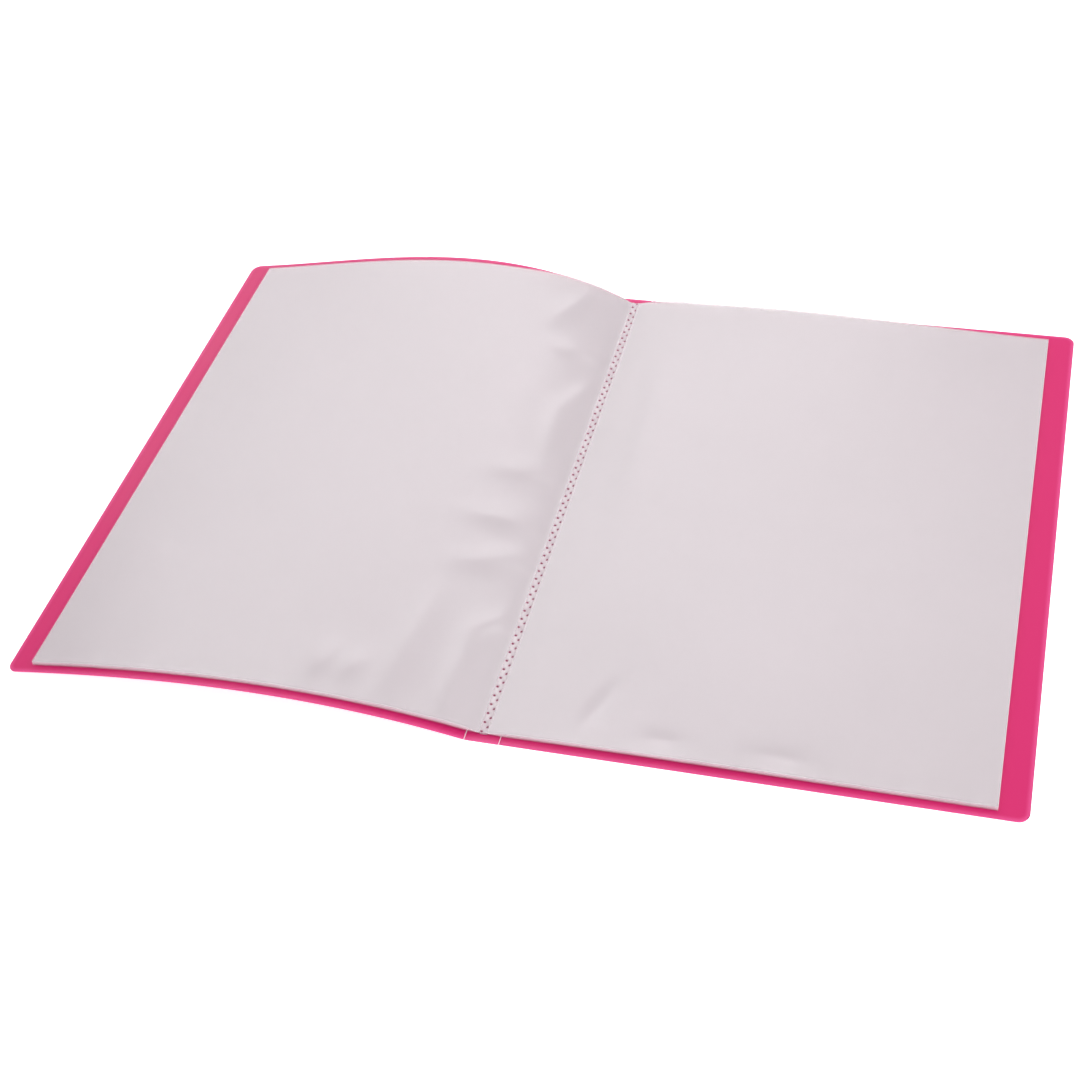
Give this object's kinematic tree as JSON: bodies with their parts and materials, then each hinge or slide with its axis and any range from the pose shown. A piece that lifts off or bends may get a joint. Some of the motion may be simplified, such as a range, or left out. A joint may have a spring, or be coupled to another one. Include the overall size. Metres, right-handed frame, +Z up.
{
  "type": "pocket display book",
  "caption": "Display book lying open: a one-piece creased plastic cover with clear film pocket leaves welded along the spine, which fold shut, fan and turn.",
  "frame": {"origin": "middle of the spine on the underside of the spine panel, on the surface the open book lies on", "axes": "+X across the open book towards the back cover, +Y along the spine away from the reader, +Z up"},
  "size_m": [0.4684, 0.31, 0.0222],
  "materials": {
    "cover_sheet": "satin hot-pink polypropylene sheet",
    "pocket_film": "clear polypropylene film, slightly hazy",
    "weld": "fused film with pressed weld dots"
  },
  "bodies": {
    "back_cover": {"back_cover": "cover_sheet"},
    "spine": {"spine_panel": "cover_sheet", "weld_seam": "weld"},
    "front_cover": {"front_cover": "cover_sheet"},
    "left_leaf_01": {"left_leaf_01_upper_film": "pocket_film", "left_leaf_01_lower_film": "pocket_film"},
    "left_leaf_02": {"left_leaf_02_upper_film": "pocket_film", "left_leaf_02_lower_film": "pocket_film"},
    "left_leaf_03": {"left_leaf_03_upper_film": "pocket_film", "left_leaf_03_lower_film": "pocket_film"},
    "left_leaf_04": {"left_leaf_04_upper_film": "pocket_film", "left_leaf_04_lower_film": "pocket_film"},
    "left_leaf_05": {"left_leaf_05_upper_film": "pocket_film", "left_leaf_05_lower_film": "pocket_film"},
    "left_leaf_06": {"left_leaf_06_upper_film": "pocket_film", "left_leaf_06_lower_film": "pocket_film"},
    "left_leaf_07": {"left_leaf_07_upper_film": "pocket_film", "left_leaf_07_lower_film": "pocket_film"},
    "left_leaf_08": {"left_leaf_08_upper_film": "pocket_film", "left_leaf_08_lower_film": "pocket_film"},
    "left_leaf_09": {"left_leaf_09_upper_film": "pocket_film", "left_leaf_09_lower_film": "pocket_film"},
    "left_leaf_10": {"left_leaf_10_upper_film": "pocket_film", "left_leaf_10_lower_film": "pocket_film"},
    "right_leaf_01": {"right_leaf_01_upper_film": "pocket_film", "right_leaf_01_lower_film": "pocket_film"},
    "right_leaf_02": {"right_leaf_02_upper_film": "pocket_film", "right_leaf_02_lower_film": "pocket_film"},
    "right_leaf_03": {"right_leaf_03_upper_film": "pocket_film", "right_leaf_03_lower_film": "pocket_film"},
    "right_leaf_04": {"right_leaf_04_upper_film": "pocket_film", "right_leaf_04_lower_film": "pocket_film"},
    "right_leaf_05": {"right_leaf_05_upper_film": "pocket_film", "right_leaf_05_lower_film": "pocket_film"},
    "right_leaf_06": {"right_leaf_06_upper_film": "pocket_film", "right_leaf_06_lower_film": "pocket_film"},
    "right_leaf_07": {"right_leaf_07_upper_film": "pocket_film", "right_leaf_07_lower_film": "pocket_film"},
    "right_leaf_08": {"right_leaf_08_upper_film": "pocket_film", "right_leaf_08_lower_film": "pocket_film"},
    "right_leaf_09": {"right_leaf_09_upper_film": "pocket_film", "right_leaf_09_lower_film": "pocket_film"},
    "right_leaf_10": {"right_leaf_10_upper_film": "pocket_film", "right_leaf_10_lower_film": "pocket_film"}
  },
  "joints": [
    {"name": "back_crease_fold", "type": "hinge", "parent": "back_cover", "child": "spine", "pos_m": [0.008, 0, 0.0003], "axis": [0, -1, 0], "range_deg": [-90, 0]},
    {"name": "front_crease_fold", "type": "hinge", "parent": "spine", "child": "front_cover", "pos_m": [-0.008, 0, 0.0003], "axis": [0, -1, 0], "range_deg": [-90, 0], "deforming": ["front_cover", "left_leaf_01_lower_film", "left_leaf_01_upper_film", "left_leaf_02_lower_film", "left_leaf_02_upper_film", "left_leaf_03_lower_film", "left_leaf_03_upper_film", "left_leaf_04_lower_film", "left_leaf_04_upper_film", "left_leaf_05_lower_film", "left_leaf_05_upper_film", "left_leaf_06_lower_film", "left_leaf_06_upper_film", "left_leaf_07_lower_film", "left_leaf_07_upper_film", "left_leaf_08_lower_film", "left_leaf_08_upper_film", "left_leaf_09_lower_film", "left_leaf_09_upper_film", "left_leaf_10_lower_film", "left_leaf_10_upper_film"]},
    {"name": "left_stack_fold", "type": "hinge", "parent": "spine", "child": "left_leaf_10", "pos_m": [0, 0, 0.00307], "axis": [0, -1, 0], "range_deg": [-90, 0]},
    {"name": "right_stack_fold", "type": "hinge", "parent": "spine", "child": "right_leaf_10", "pos_m": [0, 0, 0.00307], "axis": [0, -1, 0], "range_deg": [0, 90]},
    {"name": "left_leaves_fan", "type": "hinge", "parent": "left_leaf_10", "child": "left_leaf_09", "pos_m": [0, 0, 0.00307], "axis": [0, 1, 0], "range_deg": [0, 2]},
    {"name": "left_leaf_08_fan", "type": "hinge", "parent": "left_leaf_09", "child": "left_leaf_08", "pos_m": [0, 0, 0.00307], "axis": [0, 1, 0], "range_deg": [0, 2]},
    {"name": "left_leaf_07_fan", "type": "hinge", "parent": "left_leaf_08", "child": "left_leaf_07", "pos_m": [0, 0, 0.00307], "axis": [0, 1, 0], "range_deg": [0, 2]},
    {"name": "left_leaf_06_fan", "type": "hinge", "parent": "left_leaf_07", "child": "left_leaf_06", "pos_m": [0, 0, 0.00307], "axis": [0, 1, 0], "range_deg": [0, 2]},
    {"name": "left_leaf_05_fan", "type": "hinge", "parent": "left_leaf_06", "child": "left_leaf_05", "pos_m": [0, 0, 0.00307], "axis": [0, 1, 0], "range_deg": [0, 2]},
    {"name": "left_leaf_04_fan", "type": "hinge", "parent": "left_leaf_05", "child": "left_leaf_04", "pos_m": [0, 0, 0.00307], "axis": [0, 1, 0], "range_deg": [0, 2]},
    {"name": "left_leaf_03_fan", "type": "hinge", "parent": "left_leaf_04", "child": "left_leaf_03", "pos_m": [0, 0, 0.00307], "axis": [0, 1, 0], "range_deg": [0, 2]},
    {"name": "left_leaf_02_fan", "type": "hinge", "parent": "left_leaf_03", "child": "left_leaf_02", "pos_m": [0, 0, 0.00307], "axis": [0, 1, 0], "range_deg": [0, 2]},
    {"name": "left_leaf_01_fan", "type": "hinge", "parent": "left_leaf_02", "child": "left_leaf_01", "pos_m": [0, 0, 0.00307], "axis": [0, 1, 0], "range_deg": [0, 2]},
    {"name": "right_leaves_fan", "type": "hinge", "parent": "right_leaf_10", "child": "right_leaf_09", "pos_m": [0, 0, 0.00307], "axis": [0, -1, 0], "range_deg": [0, 2]},
    {"name": "right_leaf_08_fan", "type": "hinge", "parent": "right_leaf_09", "child": "right_leaf_08", "pos_m": [0, 0, 0.00307], "axis": [0, -1, 0], "range_deg": [0, 2]},
    {"name": "right_leaf_07_fan", "type": "hinge", "parent": "right_leaf_08", "child": "right_leaf_07", "pos_m": [0, 0, 0.00307], "axis": [0, -1, 0], "range_deg": [0, 2]},
    {"name": "right_leaf_06_fan", "type": "hinge", "parent": "right_leaf_07", "child": "right_leaf_06", "pos_m": [0, 0, 0.00307], "axis": [0, -1, 0], "range_deg": [0, 2]},
    {"name": "right_leaf_05_fan", "type": "hinge", "parent": "right_leaf_06", "child": "right_leaf_05", "pos_m": [0, 0, 0.00307], "axis": [0, -1, 0], "range_deg": [0, 2]},
    {"name": "right_leaf_04_fan", "type": "hinge", "parent": "right_leaf_05", "child": "right_leaf_04", "pos_m": [0, 0, 0.00307], "axis": [0, -1, 0], "range_deg": [0, 2]},
    {"name": "right_leaf_03_fan", "type": "hinge", "parent": "right_leaf_04", "child": "right_leaf_03", "pos_m": [0, 0, 0.00307], "axis": [0, -1, 0], "range_deg": [0, 2]},
    {"name": "right_leaf_02_fan", "type": "hinge", "parent": "right_leaf_03", "child": "right_leaf_02", "pos_m": [0, 0, 0.00307], "axis": [0, -1, 0], "range_deg": [0, 2]},
    {"name": "right_top_leaf_turn", "type": "hinge", "parent": "right_leaf_02", "child": "right_leaf_01", "pos_m": [0, 0, 0.00307], "axis": [0, -1, 0], "range_deg": [0, 105]}
  ],
  "couplings": [
    {"joint": "left_stack_fold", "follows": "front_crease_fold", "ratio": 1},
    {"joint": "right_stack_fold", "follows": "back_crease_fold", "ratio": -1},
    {"joint": "left_leaf_08_fan", "follows": "left_leaves_fan", "ratio": 1},
    {"joint": "left_leaf_07_fan", "follows": "left_leaves_fan", "ratio": 1},
    {"joint": "left_leaf_06_fan", "follows": "left_leaves_fan", "ratio": 1},
    {"joint": "left_leaf_05_fan", "follows": "left_leaves_fan", "ratio": 1},
    {"joint": "left_leaf_04_fan", "follows": "left_leaves_fan", "ratio": 1},
    {"joint": "left_leaf_03_fan", "follows": "left_leaves_fan", "ratio": 1},
    {"joint": "left_leaf_02_fan", "follows": "left_leaves_fan", "ratio": 1},
    {"joint": "left_leaf_01_fan", "follows": "left_leaves_fan", "ratio": 1},
    {"joint": "right_leaf_08_fan", "follows": "right_leaves_fan", "ratio": 1},
    {"joint": "right_leaf_07_fan", "follows": "right_leaves_fan", "ratio": 1},
    {"joint": "right_leaf_06_fan", "follows": "right_leaves_fan", "ratio": 1},
    {"joint": "right_leaf_05_fan", "follows": "right_leaves_fan", "ratio": 1},
    {"joint": "right_leaf_04_fan", "follows": "right_leaves_fan", "ratio": 1},
    {"joint": "right_leaf_03_fan", "follows": "right_leaves_fan", "ratio": 1},
    {"joint": "right_leaf_02_fan", "follows": "right_leaves_fan", "ratio": 1}
  ]
}
